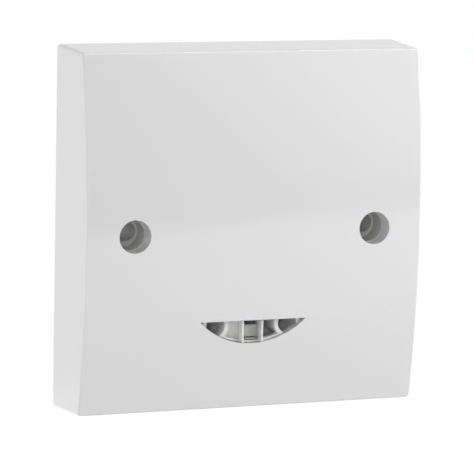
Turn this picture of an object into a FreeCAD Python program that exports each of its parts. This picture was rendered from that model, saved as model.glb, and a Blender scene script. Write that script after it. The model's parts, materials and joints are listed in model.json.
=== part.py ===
"""Wall-mounted microwave presence detector on a square single-gang faceplate.

Millimetres. X runs to the right as seen from the room, Y runs into the wall and Z runs up.
The origin is the centre of the wall plane, which the faceplate's back rests on.
"""

import FreeCAD, Part
import math
import os

V = FreeCAD.Vector

# Faceplate
fixing_centres = 60.3
plate_width = 86.0
plate_height = 86.0
crown_depth = 20.0
edge_depth = 16.0
side_draft = 0.67
face_wall = 2.5
side_wall = 2.2
corner_radius = 1.0
edge_radius = 0.5
fit_gap = 0.15

# Screw holes, from the room to the wall
screw_hole = 7.8
skirt_depth = 3.8
skirt_wall = 1.4
tube_bore = 7.3
tube_wall = 1.85
mouth_chamfer = 0.25
seat_depth = 9.0
fixing_slot_width = 4.4
fixing_slot_length = 6.4

# Sensor slot, a segment of a circle under a level chord
slot_top = -21.0
slot_drop = 5.6
slot_half_width = 13.35

# Rear housing; its box is as large as the mains parts in it need
back_plate = 2.3
lip_height = 3.0
lip_wall = 1.2
box_bottom = -30.0
box_wall = 2.0
box_corner = 2.0
box_rear_round = 0.8
wall_gap = 1.4
part_gap = 1.25
row_gap = 3.5
upper_band = 8.5
lid_gap = 0.7
label_width = 30.0
label_height = 20.0
label_depth = 0.3
label_z = 6.0

# Screws that hold the cover and the boards
thread_gap = 0.05
cover_screw_margin = 5.5
cover_screw_thread = 2.5
cover_screw_head = 5.0
cover_screw_length = 9.0
cover_screw_cup = 4.0
cup_floor = 1.8
boss_wall = 1.95
board_screw_thread = 1.8
board_screw_head = 3.8
board_screw_length = 5.4
head_height = 1.4
post_wall = 1.8

# Circuit boards
board_thickness = 1.6
board_corner = 1.0
board_side_gap = 0.65
board_margin = 3.8
control_board_rear = -6.0
control_screw_edge = 2.7
power_board_front = 4.0
board_gap = 0.3
power_screw_edge = 3.5
lead = 0.8
lead_gap = 0.1
lead_tail = 1.2
lead_root = 0.5
lead_pitch = 5.0
short_lead_pitch = 2.5

# Sensor baffle
tunnel_x = 9.1
tunnel_z = -22.3
tunnel_bore = 4.7
tunnel_wall = 0.95
tunnel_inset = 1.0
rib_x = 2.45
rib_thickness = 0.45
rib_inset = 0.15
rim_inset = 0.8
rim_wall = 0.45
shoulder_gap = 0.3
web_inset = 2.8
web_thickness = 1.5
web_margin = 1.6
baffle_base = 1.6
baffle_base_height = 10.6
strut_thickness = 0.8
peg = 1.5
peg_edge = 1.2

# Parts that look out through the slot
lens_drop = 1.4
lens_crown = 2.2
lens_bow = 0.35
lens_edge = 0.5
lens_flange = 0.8
lens_flange_margin = 0.6
lens_foot_width = 2.6
lens_foot_height = 0.25
lens_foot_reach = 0.8
lens_foot_gap = 0.3
lens_groove = 0.2
receiver_width = 5.0
receiver_height = 6.4
receiver_body = 3.4
receiver_corner = 0.4
receiver_dome = 1.7
sensor_size = 2.2
sensor_height = 0.8
sensor_cap = 1.3
sensor_cap_height = 0.2
led_width = 2.8
led_height = 3.4
led_depth = 1.6
led_corner = 0.3
led_cup_mouth = 2.4
led_cup_floor = 1.8
led_cup_depth = 0.6

# Parts on the control board's front
controller_x = 12.0
controller_z = -9.0
controller_size = 7.0
controller_height = 1.2
controller_legs = 7
controller_pitch = 0.8
leg_width = 0.3
leg_length = 1.2
leg_thickness = 0.25
leg_gap = 0.1
crystal_gap = 2.2
crystal_width = 3.2
crystal_length = 5.0
crystal_height = 1.0
crystal_corner = 0.6
chip_length = 1.6
chip_width = 0.8
chip_height = 0.6
chip_pitch = 2.6
chip_row_pitch = 2.2
chip_rows = 2
chips_per_row = 8
chips_left = -18.0
chips_gap = 1.2

# Microwave board
antenna_width = 36.0
antenna_height = 34.0
antenna_thickness = 1.2
antenna_drop = 0.5
antenna_rear = -12.2
patch_width = 3.8
patch_height = 7.2
patch_pitch_x = 4.5
patch_pitch_z = 16.2
patch_raise = 2.5
patch_thickness = 0.1
feed_width = 1.0
shield_width = 24.0
shield_height = 20.0
shield_depth = 3.4
shield_wall = 0.3
shield_corner = 0.8
shield_raise = 4.0
spacer = 4.0
spacer_edge = 1.0
spacer_x = 15.5
pin_pitch = 2.54
radar_ways = 5
header_edge = 3.0

# Link between the two boards
link_x = -7.2
link_edge = 3.4
link_ways = 6
link_width = 2.6
link_reach = 5.0
header_base = 2.5
socket_spare = 0.5

# Relay, standing on the power board
relay_width = 12.7
relay_length = 28.0
relay_height = 15.7
relay_wall = 0.8
relay_corner = 0.8
relay_foot = 0.6
relay_base = 1.8
relay_lead_end = 2.2
relay_lead_side = 2.4
case_gap = 0.1
coil_from_end = 8.2
coil_core = 4.0
bobbin_wall = 0.6
winding_outer = 9.0
flange_size = 9.8
flange_thickness = 0.8
bobbin_length = 8.6
pole_reach = 0.3
yoke_gap = 0.2
yoke_thickness = 1.2
yoke_width = 8.0
knife_gap = 0.1
armature_thickness = 1.0
armature_gap = 0.5
contact_from_end = 4.6
contact_gap = 1.3
contact_size = 2.4
contact_height = 0.6
contact_shelf = 0.8
spring_thickness = 0.25
spring_width = 3.2

# Other parts on the power board
transformer_width = 16.0
transformer_height = 13.0
transformer_foot = 2.0
core_thickness = 5.0
core_yoke = 2.0
core_side = 2.14
core_window = 3.4
winding_width = 13.0
winding_margin = 1.6
winding_corner = 1.2
foot_width = 12.0
foot_length = 3.4
bulk_diameter = 10.0
bulk_height = 14.0
output_diameter = 6.3
output_height = 11.0
can_round = 0.6
can_groove = 0.35
can_groove_low = 1.2
can_groove_width = 0.8
suppressor_width = 6.0
suppressor_length = 14.0
suppressor_height = 12.0
suppressor_round = 0.5
varistor_diameter = 9.5
varistor_thickness = 3.6
varistor_lift = 1.2
varistor_lead_pitch = 7.5
fuse_diameter = 8.0
fuse_height = 7.6
fuse_round = 0.5
choke_diameter = 8.0
choke_height = 9.5
choke_flange = 1.2
choke_waist = 7.2

# Chips on the power board's front
rectifier_width = 6.4
rectifier_length = 8.2
rectifier_height = 2.2
rectifier_pitch = 5.0
rectifier_ways = 2
driver_width = 3.9
driver_length = 4.9
driver_height = 1.6
driver_pitch = 1.27
driver_ways = 4
gull_foot = 1.2
gull_reach = 0.4
gull_width = 0.4
gull_thickness = 0.3

# Mains terminals, one cell per wire
terminal_ways = 3
terminal_pitch = 7.5
terminal_end_wall = 0.75
terminal_reach = 14.0
terminal_axis_height = 7.4
terminal_recess = 0.2
well_lip = 1.2
tail_width = 1.4
driver_slot = 0.9
driver_slot_depth = 1.1
wire_bore = 5.0
wire_funnel = 0.6
wire_funnel_depth = 1.0
cage_width = 5.6
cage_length = 6.0
cage_wall = 0.9
cage_top = 1.6
cage_window = 6.2
cage_travel = 3.0
slide_gap = 0.2
floor_thickness = 1.4
bar_thickness = 1.0
bar_width = 3.6
bar_seat = 1.4
screw_thread = 3.4
screw_head = 5.4
screw_head_height = 2.2
access_bore = 4.8
guide_web = 0.9
run_gap = 0.1

# Sizes worked out from those above
crown_rise = crown_depth - edge_depth
half_front = plate_height / 2 - side_draft
crown_radius = (half_front ** 2 + crown_rise ** 2) / (2 * crown_rise)
crown_centre = crown_radius - crown_depth
slot_radius = (slot_half_width ** 2 + slot_drop ** 2) / (2 * slot_drop)
slot_centre = slot_top - slot_drop + slot_radius
tube_outer = tube_bore + 2 * tube_wall
tube_mouth = skirt_depth - crown_depth
seat_y = seat_depth - crown_depth
lean = side_draft / edge_depth
plate_fit = side_wall + fit_gap
control_front = control_board_rear - board_thickness
power_rear = power_board_front + board_thickness
tunnel_outer = tunnel_bore + 2 * tunnel_wall
relay_top = power_rear + relay_height
terminal_width = terminal_ways * terminal_pitch + 2 * terminal_end_wall
antenna_front = antenna_rear - antenna_thickness

# Depths of a wire terminal, one on the other from the board to the rear
cage_front = power_rear + floor_thickness + slide_gap
cage_rear = cage_front + cage_wall + cage_window + cage_top
bar_rear = cage_rear - cage_top - slide_gap
bar_front = bar_rear - bar_thickness
chamber_rear = cage_rear + cage_travel + slide_gap
head_front = chamber_rear + guide_web + run_gap
head_rear = head_front + screw_head_height
terminal_rear = head_rear + run_gap + well_lip

# The rear box, and the rows and columns of parts in it
box_width = 2 * (box_wall + wall_gap + part_gap) + relay_width + transformer_width + bulk_diameter
box_depth = max(relay_top + lid_gap, terminal_rear + terminal_recess - box_wall) + box_wall
box_inner = box_depth - box_wall
terminal_top = box_bottom + terminal_reach
terminal_axis = box_bottom + terminal_axis_height
first_row = terminal_top + row_gap
box_top = first_row + relay_length + upper_band + box_wall
column_left = box_wall + wall_gap - box_width / 2
column_right = -column_left
relay_x = column_left + relay_width / 2
relay_z = first_row + relay_length / 2
transformer_x = column_left + relay_width + part_gap + transformer_width / 2
transformer_z = first_row + winding_width / 2
bulk_x = column_right - bulk_diameter / 2
bulk_z = first_row + bulk_diameter / 2
second_row = first_row + winding_width + row_gap
varistor_x = column_left + relay_width + part_gap + varistor_thickness / 2
varistor_z = second_row + varistor_diameter / 2
fuse_x = varistor_x + varistor_thickness / 2 + part_gap + fuse_diameter / 2
fuse_z = second_row + fuse_diameter / 2
suppressor_x = column_right - suppressor_width / 2
suppressor_z = first_row + bulk_diameter + row_gap + suppressor_length / 2
output_x = suppressor_x - suppressor_width / 2 - part_gap - output_diameter / 2
output_z = second_row + output_diameter / 2
choke_x = fuse_x + part_gap
choke_z = second_row + fuse_diameter + part_gap + choke_diameter / 2
link_z = box_top - box_wall - link_edge
power_screw_x = box_width / 2 - box_wall - power_screw_edge
power_screw_top = box_top - box_wall - power_screw_edge
power_screw_bottom = box_bottom + box_wall + power_screw_edge

# The boards behind the cover
cover_screw_x = plate_width / 2 - side_wall - cover_screw_margin
cover_screw_z = plate_height / 2 - side_wall - cover_screw_margin
control_board_width = fixing_centres - tube_outer - 2 * board_side_gap
control_half_height = plate_height / 2 - side_wall - board_margin
control_screw_x = control_board_width / 2 - control_screw_edge
control_screw_z = control_half_height - control_screw_edge
antenna_bottom = control_half_height - antenna_drop - antenna_height
header_z = antenna_bottom + header_edge
baffle_half_width = tunnel_x + tunnel_outer / 2 + web_margin
peg_x = baffle_half_width - peg_edge
slot_low = slot_top - slot_drop
lens_top = slot_top - lens_drop
lens_foot_low = slot_low + fit_gap + rim_wall + lens_foot_gap
lens_foot_high = lens_foot_low + lens_foot_height
lens_bottom = lens_foot_high + lens_groove
lens_width = 2 * rib_x - rib_thickness - 2 * fit_gap


def block(x, y, z):
    """Box between a low and a high limit on each axis."""
    return Part.makeBox(x[1] - x[0], y[1] - y[0], z[1] - z[0], V(x[0], y[0], z[0]))


def about(centre, size):
    """Low and high limit of a size about its centre."""
    return (centre - size / 2, centre + size / 2)


def rod(x, z, y, diameter):
    """Round bar along Y between two depths."""
    return Part.makeCylinder(diameter / 2, y[1] - y[0], V(x, y[0], z), V(0, 1, 0))


def upright(x, y, z, diameter):
    """Round bar along Z between two heights."""
    return Part.makeCylinder(diameter / 2, z[1] - z[0], V(x, y, z[0]))


def join(shapes):
    """One solid from shapes that touch or overlap."""
    whole = shapes[0].multiFuse(shapes[1:])
    return whole.removeSplitter()


def cut_all(shape, tools):
    """Take several tools out of a shape."""
    return shape.cut(Part.makeCompound(tools))


def group(shapes):
    """Several separate solids as one node."""
    return Part.makeCompound(shapes)


def prism(points, start, direction):
    """Straight-sided solid from a flat outline."""
    wire = Part.makePolygon([V(*p) for p in points + points[:1]])
    face = Part.Face(wire)
    face.translate(start)
    return face.extrude(direction)


def rounded(shape, radius, axis):
    """Round the straight edges that run along one axis."""
    edges = [e for e in shape.Edges if abs(abs(edge_direction(e).dot(axis)) - 1) < 0.01]
    return shape.makeFillet(radius, edges)


def edge_direction(edge):
    """Unit vector from one end of an edge to the other, or zero for a closed edge."""
    ends = edge.Vertexes
    if len(ends) < 2:
        return V(0, 0, 0)
    run = ends[1].Point - ends[0].Point
    return run.normalize() if run.Length > 0 else run


def edges_at(shape, y):
    """Edges that lie flat at one depth."""
    return [e for e in shape.Edges if abs(e.CenterOfMass.y - y) < 0.01]


def leads(places, y):
    """Round wire leads along Y."""
    return [rod(x, z, y, lead) for x, z in places]


def lead_holes(places, y):
    """Holes in a board for those leads."""
    return [rod(x, z, y, lead + 2 * lead_gap) for x, z in places]


def row(x, z, ways):
    """Places of a row of pins along X about a centre."""
    start = x - pin_pitch * (ways - 1) / 2
    return [(start + pin_pitch * i, z) for i in range(ways)]


def front_y(z):
    """Depth of the crowned front at a height."""
    return crown_centre - math.sqrt(crown_radius ** 2 - z ** 2)


def barrel(radius):
    """Long cylinder about the crown's axis."""
    return Part.makeCylinder(radius, 2 * plate_width, V(-plate_width, crown_centre, 0), V(1, 0, 0))


def tapered_block(width, height, back):
    """Block whose four sides lean inwards towards the room."""
    front = -crown_depth - 2
    spans = []
    for size in (width, height):
        spans.append((size / 2 + lean * back, size / 2 + lean * front))
    w_back, w_front = spans[0]
    h_back, h_front = spans[1]
    plan = [(-w_back, back, 0), (w_back, back, 0), (w_front, front, 0), (-w_front, front, 0)]
    side = [(0, back, -h_back), (0, back, h_back), (0, front, h_front), (0, front, -h_front)]
    across = prism(plan, V(0, 0, -height), V(0, 0, 2 * height))
    along = prism(side, V(-width, 0, 0), V(2 * width, 0, 0))
    return across.common(along)


def lengthwise_edges(shape):
    """The four leaning corner edges that run from the wall to the room."""
    return [e for e in shape.Edges if abs(edge_direction(e).y) > 0.9]


def slot_prism(y, inset):
    """The sensor slot's outline, drawn in by an inset, between two depths."""
    radius = slot_radius - inset
    top = slot_top - inset
    half = math.sqrt(radius ** 2 - (top - slot_centre) ** 2)
    left, right = V(-half, y[0], top), V(half, y[0], top)
    arc = Part.Arc(left, V(0, y[0], slot_centre - radius), right).toShape()
    face = Part.Face(Part.Wire([arc, Part.LineSegment(right, left).toShape()]))
    return face.extrude(V(0, y[1] - y[0], 0))


def fixing_places():
    """Centres of the two wall fixing screws."""
    return [(-fixing_centres / 2, 0), (fixing_centres / 2, 0)]


def corner_places(x, z_low, z_high):
    """Places at the left and the right, low and high."""
    return [(side * x, z) for side in (-1, 1) for z in (z_low, z_high)]


def cover_screw_places():
    """The four screws that hold the cover, near the plate's corners."""
    return corner_places(cover_screw_x, -cover_screw_z, cover_screw_z)


def control_screw_places():
    return corner_places(control_screw_x, -control_screw_z, control_screw_z)


def power_screw_places():
    return corner_places(power_screw_x, power_screw_bottom, power_screw_top)


def pan_screw(x, z, seat, length, thread, head, out):
    """Pan-head screw along Y with a cross recess; out is -1 for a head on the room's side."""
    reach = sorted((seat, seat - out * length))
    shank = rod(x, z, reach, thread)
    tip = Part.makeCone(thread / 2, thread / 8, thread / 2, V(x, seat - out * length, z), V(0, -out, 0))
    top = Part.makeCylinder(head / 2, head_height, V(x, seat, z), V(0, out, 0))
    top = top.makeFillet(head_height * 0.5, edges_at(top, seat + out * head_height))
    recess_y = sorted((seat + out * head_height * 0.35, seat + out * head_height * 2))
    arm = head * 0.55
    blade = head * 0.14
    cross = [block(about(x, arm), recess_y, about(z, blade)), block(about(x, blade), recess_y, about(z, arm))]
    return cut_all(join([shank, tip, top]), cross)


def front_cover():
    """Crowned shell with two screw holes, the sensor slot, skirts and screw bosses."""
    outer = tapered_block(plate_width, plate_height, 0)
    outer = outer.makeFillet(corner_radius, lengthwise_edges(outer))
    outer = outer.common(barrel(crown_radius))
    brow = [e for e in outer.Edges if max(v.Y for v in e.Vertexes) < -edge_depth / 2]
    outer = outer.makeFillet(edge_radius, brow)
    cavity = tapered_block(plate_width - 2 * side_wall, plate_height - 2 * side_wall, 1)
    cavity = cavity.common(barrel(crown_radius - face_wall))
    shell = outer.cut(cavity)
    buried = -crown_depth + face_wall / 2
    pieces = [shell]
    holes = []
    for x, z in fixing_places():
        pieces.append(rod(x, z, (buried, tube_mouth - fit_gap), screw_hole + 2 * skirt_wall))
        holes.append(rod(x, z, (-crown_depth - 1, tube_mouth + 1), screw_hole))
    boss_end = -cover_screw_cup - fit_gap / 3
    pilot = cover_screw_thread + 2 * thread_gap
    screw_end = cup_floor - cover_screw_cup - cover_screw_length
    for x, z in cover_screw_places():
        boss_start = front_y(z) + face_wall * 0.75
        pieces.append(rod(x, z, (boss_start, boss_end), pilot + 2 * boss_wall))
        holes.append(rod(x, z, (screw_end - cover_screw_thread / 2, boss_end + 1), pilot))
    holes.append(slot_prism((-crown_depth - 1, tube_mouth + 1), 0))
    return cut_all(join(pieces), holes)


def housing_box():
    """Closed box behind the wall plane that holds the mains parts."""
    outside = block(about(0, box_width), (-back_plate, box_depth), (box_bottom, box_top))
    outside = rounded(outside, box_corner, V(0, 1, 0))
    outside = outside.makeFillet(box_rear_round, edges_at(outside, box_depth))
    inside = block(about(0, box_width - 2 * box_wall), (-back_plate - 1, box_inner),
                   (box_bottom + box_wall, box_top - box_wall))
    return outside, inside


def terminal_window():
    """Opening in the box's rear and bottom walls that the terminal block fills."""
    width = terminal_width + 2 * fit_gap
    return block(about(0, width), (power_rear - fit_gap, box_depth + 1),
                 (box_bottom - 1, terminal_top + fit_gap))


def rear_housing():
    """Back plate, screw tubes, board posts and the box that enters the wall box."""
    wide = plate_width - 2 * plate_fit
    high = plate_height - 2 * plate_fit
    wedge = tapered_block(wide, high, 0)
    plate = wedge.common(block((-wide, wide), (-back_plate, 0), (-high, high)))
    lip = wedge.common(block((-wide, wide), (-back_plate - lip_height, 0), (-high, high)))
    lip = lip.cut(tapered_block(wide - 2 * lip_wall, high - 2 * lip_wall, 1))
    outside, inside = housing_box()
    pieces = [plate, lip, outside]
    label_y = (box_depth - label_depth, box_depth + 1)
    holes = [block(about(0, label_width), label_y, about(label_z, label_height))]
    for x, z in fixing_places():
        pieces.append(rod(x, z, (tube_mouth, 0), tube_outer))
        holes.append(rod(x, z, (tube_mouth - 1, seat_y), tube_bore))
        flare = tube_bore / 2 + mouth_chamfer
        holes.append(Part.makeCone(flare, tube_bore / 2, mouth_chamfer, V(x, tube_mouth, z), V(0, 1, 0)))
        middle = fixing_slot_length - fixing_slot_width
        holes.append(block(about(x, middle), (seat_y - 1, 1), about(z, fixing_slot_width)))
        for end in about(x, middle):
            holes.append(rod(end, z, (seat_y - 1, 1), fixing_slot_width))
    for x, z in cover_screw_places():
        pieces.append(rod(x, z, (-cover_screw_cup, 0), cover_screw_head + 2 * post_wall))
        holes.append(rod(x, z, (-cover_screw_cup - 1, 1), cover_screw_thread + 4 * thread_gap))
        holes.append(rod(x, z, (cup_floor - cover_screw_cup, 1), cover_screw_head + 2 * fit_gap))
    pilot = board_screw_thread + 2 * thread_gap
    post = pilot + 2 * post_wall
    for x, z in control_screw_places():
        pieces.append(rod(x, z, (control_board_rear, -back_plate / 2), post))
        holes.append(rod(x, z, (control_board_rear - 1, -back_plate / 3), pilot))
    posts = []
    for x, z in power_screw_places():
        posts.append(rod(x, z, (power_rear, box_inner + box_wall / 2), post).cut(
            rod(x, z, (power_rear - 1, power_rear + board_screw_length + 1), pilot)))
    shell = cut_all(join(pieces), holes + [inside])
    return cut_all(join([shell] + posts), [terminal_window()])


def web_depths():
    """Front and back of the wall between the left tunnel and the right rib."""
    front = front_y(tunnel_z) + web_inset
    return (front, front + web_thickness)


def nose_pieces():
    """What of the baffle shows through the slot, apart from the two tunnels."""
    y = web_depths()
    face = front_y(tunnel_z)
    web_z = (slot_low - web_margin, slot_top + web_margin)
    pieces = [block((-tunnel_x, rib_x + rib_thickness / 2), y, web_z)]
    for x in about(0, 2 * rib_x):
        pieces.append(block(about(x, rib_thickness), (face + rib_inset, y[1]), (slot_low, slot_top)))
    rim = slot_prism((front_y(slot_low) + rim_inset, y[0] + web_thickness / 4), fit_gap)
    rim = rim.cut(slot_prism((-crown_depth, 0), fit_gap + rim_wall))
    below = block((-tunnel_x, tunnel_x), (-crown_depth, 0), (slot_low, slot_top - fit_gap - rim_wall))
    pieces.append(rim.common(below))
    return pieces


def sensor_baffle():
    """White moulding behind the slot: two light tunnels, two ribs, a rim and a web."""
    shoulder = front_y(slot_low) + face_wall + shoulder_gap
    tunnel_front = front_y(tunnel_z) + tunnel_inset
    sides = about(0, 2 * tunnel_x)
    tunnels = [rod(x, tunnel_z, (tunnel_front, control_front), tunnel_outer) for x in sides]
    bores = [rod(x, tunnel_z, (tunnel_front - 1, control_front + 1), tunnel_bore) for x in sides]
    moulding = join(tunnels + nose_pieces())
    nose = moulding.common(slot_prism((-crown_depth, shoulder), fit_gap))
    body = moulding.common(block((-plate_width, plate_width), (shoulder, 0), (-plate_height, 0)))
    base = block(about(0, 2 * baffle_half_width), (control_front - baffle_base, control_front),
                 about(tunnel_z, baffle_base_height))
    strut_x = tunnel_outer / 2 - tunnel_x - tunnel_wall / 3
    strut = block((strut_x, strut_x + strut_thickness), (shoulder, control_front),
                  about(tunnel_z, baffle_base_height))
    peg_y = (control_front - baffle_base, control_board_rear)
    pegs = [rod(x, tunnel_z, peg_y, peg) for x in about(0, 2 * peg_x)]
    window = block(about(0, lens_width + 2 * fit_gap), (web_depths()[0] - 1, web_depths()[1] + 1),
                   (lens_foot_low - fit_gap, slot_top + web_margin - strut_thickness))
    seat = block(about(0, receiver_width + 4 * fit_gap), (control_front - baffle_base - 1, control_front + 1),
                 about(tunnel_z, receiver_height + 4 * fit_gap))
    return cut_all(join([nose, body, base, strut] + pegs), bores + [window, seat])


def ir_lens():
    """Frosted lens with a gently bowed front, a foot below it and a flange behind the web."""
    crown = front_y(tunnel_z) + lens_crown
    rear = web_depths()[1]
    body = block(about(0, lens_width), (crown, rear), (lens_bottom, lens_top))
    bow_radius = (lens_width ** 2 / 4 + lens_bow ** 2) / (2 * lens_bow)
    body = body.common(upright(0, crown + bow_radius, (lens_bottom - 1, lens_top + 1), 2 * bow_radius))
    middles = [(e, e.CenterOfMass) for e in body.Edges]
    brow = [e for e, middle in middles if middle.y < crown + lens_bow and middle.z > lens_top - 0.01]
    body = body.makeFillet(lens_edge, brow)
    flange = block(about(0, lens_width + 2 * lens_flange_margin), (rear, rear + lens_flange),
                   (lens_bottom - lens_flange_margin, lens_top))
    foot = block(about(0, lens_foot_width), (crown - lens_foot_reach, rear), (lens_foot_low, lens_foot_high))
    return join([body, flange, foot])


def ir_receiver():
    """Dark receiver with a domed front on the control board."""
    body = block(about(0, receiver_width), (control_front - receiver_body, control_front),
                 about(tunnel_z, receiver_height))
    body = rounded(body, receiver_corner, V(0, 1, 0))
    dome = Part.makeSphere(receiver_dome, V(0, control_front - receiver_body + receiver_dome * 0.3, tunnel_z))
    return join([body, dome])


def light_sensor():
    """Flat ambient light sensor in the left tunnel."""
    body = block(about(-tunnel_x, sensor_size), (control_front - sensor_height, control_front),
                 about(tunnel_z, sensor_size))
    cap_front = control_front - sensor_height - sensor_cap_height
    return join([body, rod(-tunnel_x, tunnel_z, (cap_front, control_front), sensor_cap)])


def status_led():
    """Surface-mount lamp in the right tunnel, with its round cup of clear resin."""
    front = control_front - led_depth
    body = block(about(tunnel_x, led_width), (front, control_front), about(tunnel_z, led_height))
    body = rounded(body, led_corner, V(0, 1, 0))
    centre = V(tunnel_x, front, tunnel_z)
    cup = Part.makeCone(led_cup_mouth / 2, led_cup_floor / 2, led_cup_depth, centre, V(0, 1, 0))
    resin = rod(tunnel_x, tunnel_z, (front + led_cup_depth / 2, control_front), led_cup_floor)
    return join([body.cut(cup), resin])


def radar_pins():
    """Places of the pins between the microwave board and the control board."""
    return row(0, header_z, radar_ways)


def link_places():
    """Places of the pins between the control board and the power board."""
    return row(link_x, link_z, link_ways)


def control_board():
    """Board behind the cover, with holes for screws, pegs and leads."""
    y = (control_front, control_board_rear)
    plate = block(about(0, control_board_width), y, about(0, 2 * control_half_height))
    plate = rounded(plate, board_corner, V(0, 1, 0))
    through = (control_front - 1, control_board_rear + 1)
    holes = [rod(x, z, through, board_screw_thread + 4 * thread_gap) for x, z in control_screw_places()]
    holes += [rod(side * peg_x, tunnel_z, through, peg + 2 * lead_gap) for side in (-1, 1)]
    holes += lead_holes(radar_pins() + link_places(), through)
    return cut_all(plate, holes)


def microcontroller():
    """Square chip with rows of legs on four sides."""
    x, z = controller_x, controller_z
    body = block(about(x, controller_size), (control_front - controller_height, control_front - leg_gap),
                 about(z, controller_size))
    y = (control_front - leg_thickness, control_front)
    reach = (controller_size + leg_length) / 2 - leg_gap
    legs = []
    for i in range(controller_legs):
        offset = controller_pitch * (i - (controller_legs - 1) / 2)
        for side in (-1, 1):
            legs.append(block(about(x + side * reach, leg_length), y, about(z + offset, leg_width)))
            legs.append(block(about(x + offset, leg_width), y, about(z + side * reach, leg_length)))
    return join([body] + legs)


def chip_components():
    """Resistors and capacitors on the control board, in rows above the baffle."""
    low = tunnel_z + baffle_base_height / 2 + chips_gap
    chips = []
    for line in range(chip_rows):
        for i in range(chips_per_row):
            chips.append(block(about(chips_left + chip_pitch * i, chip_length),
                               (control_front - chip_height, control_front),
                               about(low + chip_row_pitch * line, chip_width)))
    return group(chips)


def crystal():
    """Low metal can beside the microcontroller."""
    x = controller_x - controller_size / 2 - leg_length - crystal_gap - crystal_width / 2
    can = block(about(x, crystal_width), (control_front - crystal_height, control_front),
                about(controller_z, crystal_length))
    return rounded(can, crystal_corner, V(0, 1, 0))


def antenna_board():
    """Microwave board that faces the room behind the cover."""
    y = (antenna_front, antenna_rear)
    plate = block(about(0, antenna_width), y, (antenna_bottom, antenna_bottom + antenna_height))
    return cut_all(plate, lead_holes(radar_pins(), (antenna_front - 1, antenna_rear + 1)))


def antenna_patches():
    """Copper patches: two by two to send and two by two to receive, with their feed lines."""
    middle = antenna_bottom + antenna_height / 2 + patch_raise
    y = (antenna_front - patch_thickness, antenna_front)
    arrays = []
    for side in (-1, 1):
        x = side * antenna_width / 4
        squares = [block(about(across, patch_width), y, about(up, patch_height))
                   for across in about(x, patch_pitch_x) for up in about(middle, patch_pitch_z)]
        lines = [block(about(x, feed_width), y, about(middle, patch_pitch_z))]
        for up in about(middle, patch_pitch_z):
            lines.append(block(about(x, patch_pitch_x), y, about(up, feed_width)))
        arrays.append(join(squares + lines))
    return group(arrays)


def radar_shield():
    """Folded metal can over the oscillator on the back of the microwave board."""
    z = about(antenna_bottom + antenna_height / 2 + shield_raise, shield_height)
    y = (antenna_rear, antenna_rear + shield_depth)
    outer = rounded(block(about(0, shield_width), y, z), shield_corner, V(0, 1, 0))
    inner = block(about(0, shield_width - 2 * shield_wall), (antenna_rear - 1, y[1] - shield_wall),
                  (z[0] + shield_wall, z[1] - shield_wall))
    return outer.cut(inner)


def radar_header():
    """Pins with their plastic strip, from the microwave board to the control board."""
    strip = block(about(0, radar_ways * pin_pitch), (antenna_rear, antenna_rear + header_base),
                  about(header_z, link_width))
    return join([strip] + leads(radar_pins(), (antenna_front - lead_root, control_board_rear + lead_tail)))


def antenna_spacers():
    """Two plastic spacers that carry the top of the microwave board."""
    z = antenna_bottom + antenna_height - spacer / 2 - spacer_edge
    return group([rod(side * spacer_x, z, (antenna_rear, control_front), spacer) for side in (-1, 1)])


def board_header():
    """Pins that stand on the power board's front."""
    y = (power_board_front - header_base, power_board_front)
    strip = block(about(link_x, link_ways * pin_pitch), y, about(link_z, link_width))
    return join([strip] + leads(link_places(), (y[0] - link_reach, power_rear + lead_tail)))


def board_socket():
    """Socket on the control board's back that takes those pins."""
    end = power_board_front - header_base
    strip = block(about(link_x, link_ways * pin_pitch), (control_board_rear, end), about(link_z, link_width))
    strip = cut_all(strip, lead_holes(link_places(), (end - link_reach - socket_spare, end + 1)))
    return join([strip] + leads(link_places(), (control_front - lead_root, control_board_rear + lead_root)))


def relay_leads():
    """Relay pins: two for the coil, two for the contacts."""
    end = relay_length / 2 - relay_lead_end
    side = relay_width / 2 - relay_lead_side
    return [(relay_x + i * side, relay_z + j * end) for i in (-1, 1) for j in (-1, 1)]


def transformer_leads():
    """Transformer pins, two at each foot."""
    heights = about(transformer_z, 2 * lead_pitch)
    return [(x, z) for x in about(transformer_x, 2 * lead_pitch) for z in heights]


def suppressor_leads():
    return [(suppressor_x, z) for z in about(suppressor_z, 2 * lead_pitch)]


def varistor_leads():
    return [(varistor_x, z) for z in about(varistor_z, varistor_lead_pitch)]


def two_leads(x, z, pitch):
    return [(place, z) for place in about(x, pitch)]


def power_leads():
    """Every lead that passes through the power board."""
    places = relay_leads() + transformer_leads() + suppressor_leads() + varistor_leads()
    places += two_leads(bulk_x, bulk_z, lead_pitch) + two_leads(output_x, output_z, short_lead_pitch)
    places += two_leads(fuse_x, fuse_z, lead_pitch) + two_leads(choke_x, choke_z, lead_pitch)
    return places + link_places()


def power_board():
    """Mains board in the rear box."""
    half = box_width / 2 - box_wall - board_gap
    y = (power_board_front, power_rear)
    plate = block((-half, half), y, (box_bottom + box_wall + board_gap, box_top - box_wall - board_gap))
    through = (power_board_front - 1, power_rear + 1)
    holes = lead_holes(power_leads(), through)
    holes += [rod(x, z, through, board_screw_thread + 4 * thread_gap) for x, z in power_screw_places()]
    holes += [block(about(x, tail_width + 2 * lead_gap), through, (terminal_tail_z()[0] - lead_gap,
              terminal_tail_z()[1] + lead_gap)) for x in terminal_places()]
    return cut_all(plate, holes)


def tails(places):
    """Leads that reach from a part through the power board."""
    return leads(places, (power_board_front - lead_tail, power_rear + lead_root))


def relay_case_part():
    """Cover of the relay, open towards the board."""
    outer = block(about(relay_x, relay_width), (power_rear + relay_foot, relay_top),
                  about(relay_z, relay_length))
    outer = rounded(outer, relay_corner, V(0, 1, 0))
    inner = block(about(relay_x, relay_width - 2 * relay_wall), (power_rear - 1, relay_top - relay_wall),
                  about(relay_z, relay_length - 2 * relay_wall))
    return outer.cut(inner)


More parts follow.
